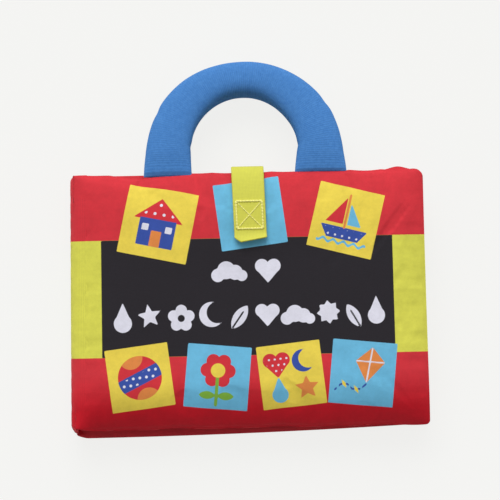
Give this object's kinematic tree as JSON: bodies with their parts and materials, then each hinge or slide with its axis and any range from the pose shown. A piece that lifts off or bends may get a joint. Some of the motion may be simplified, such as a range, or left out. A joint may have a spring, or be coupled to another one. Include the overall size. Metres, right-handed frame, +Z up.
{
  "type": "crinkle cloth book",
  "caption": "Padded cloth book with turning covers and crinkle leaves, a stuffed arch carrying handle and a webbing closing strap with hook-and-loop.",
  "frame": {"origin": "middle of the flat of the back cover that the closed book lies on", "axes": "+Z up through the closed book, +X from the spine to the fore edges, +Y from the book to its carrying handle"},
  "size_m": [0.2687, 0.2787, 0.058],
  "materials": {
    "cover_cloth": "matte",
    "lining_cloth": "matte",
    "leaf_cloth": "matte",
    "handle_cloth": "matte",
    "webbing": "matte",
    "hook_and_loop": "matte",
    "wadding": "matte",
    "crinkle_film": "gloss"
  },
  "bodies": {
    "back_cover": {"back_cover_face": "cover_cloth", "back_cover_lining": "lining_cloth", "back_cover_outer_wadding": "wadding", "back_cover_inner_wadding": "wadding"},
    "spine": {"spine_face": "cover_cloth", "spine_lining": "lining_cloth", "spine_wadding": "wadding"},
    "front_cover": {"front_cover_face": "cover_cloth", "front_cover_lining": "lining_cloth", "front_cover_outer_wadding": "wadding", "front_cover_inner_wadding": "wadding", "strap_loop_patch": "hook_and_loop"},
    "leaf_1": {"leaf_1_front": "leaf_cloth", "leaf_1_back": "leaf_cloth", "leaf_1_front_wadding": "wadding", "leaf_1_back_wadding": "wadding", "leaf_1_film": "crinkle_film"},
    "leaf_2": {"leaf_2_front": "leaf_cloth", "leaf_2_back": "leaf_cloth", "leaf_2_front_wadding": "wadding", "leaf_2_back_wadding": "wadding", "leaf_2_film": "crinkle_film"},
    "leaf_3": {"leaf_3_front": "leaf_cloth", "leaf_3_back": "leaf_cloth", "leaf_3_front_wadding": "wadding", "leaf_3_back_wadding": "wadding", "leaf_3_film": "crinkle_film"},
    "handle": {"handle_sleeve": "handle_cloth", "handle_stuffing": "wadding"},
    "strap_riser": {"strap_riser": "webbing"},
    "strap_tab": {"strap_tab": "webbing", "strap_hook_patch": "hook_and_loop"}
  },
  "joints": [
    {"name": "spine_fold", "type": "hinge", "parent": "back_cover", "child": "spine", "pos_m": [-0.133, 0, 0.008], "axis": [0, -1, 0], "range_deg": [0, 90]},
    {"name": "front_cover_turn", "type": "hinge", "parent": "spine", "child": "front_cover", "pos_m": [-0.133, 0, 0.0416], "axis": [0, -1, 0], "range_deg": [0, 90]},
    {"name": "leaf_1_turn", "type": "hinge", "parent": "spine", "child": "leaf_1", "pos_m": [-0.1312, 0, 0.0332], "axis": [0, -1, 0], "range_deg": [0, 90]},
    {"name": "leaf_2_turn", "type": "hinge", "parent": "spine", "child": "leaf_2", "pos_m": [-0.1312, 0, 0.0248], "axis": [0, -1, 0], "range_deg": [0, 90]},
    {"name": "leaf_3_turn", "type": "hinge", "parent": "spine", "child": "leaf_3", "pos_m": [-0.1312, 0, 0.0164], "axis": [0, -1, 0], "range_deg": [-90, 0]},
    {"name": "handle_swing", "type": "hinge", "parent": "front_cover", "child": "handle", "pos_m": [0, 0.0972, 0.0416], "axis": [1, 0, 0], "range_deg": [-30, 85], "stiffness_Nm_per_rad": 0.25, "springref_deg": 3.21},
    {"name": "strap_riser_fold", "type": "hinge", "parent": "back_cover", "child": "strap_riser", "pos_m": [0.0022, 0.0971, 0.008], "axis": [-1, 0, 0], "range_deg": [0, 90]},
    {"name": "strap_tab_peel", "type": "hinge", "parent": "strap_riser", "child": "strap_tab", "pos_m": [0.0022, 0.0971, 0.04235], "axis": [-1, 0, 0], "range_deg": [0, 90], "deforming": ["strap_tab", "strap_hook_patch"]}
  ],
  "couplings": [
    {"joint": "front_cover_turn", "follows": "spine_fold", "ratio": 1},
    {"joint": "leaf_1_turn", "follows": "spine_fold", "ratio": 0.5},
    {"joint": "leaf_2_turn", "follows": "spine_fold", "ratio": 0.1},
    {"joint": "leaf_3_turn", "follows": "spine_fold", "ratio": -0.5}
  ]
}
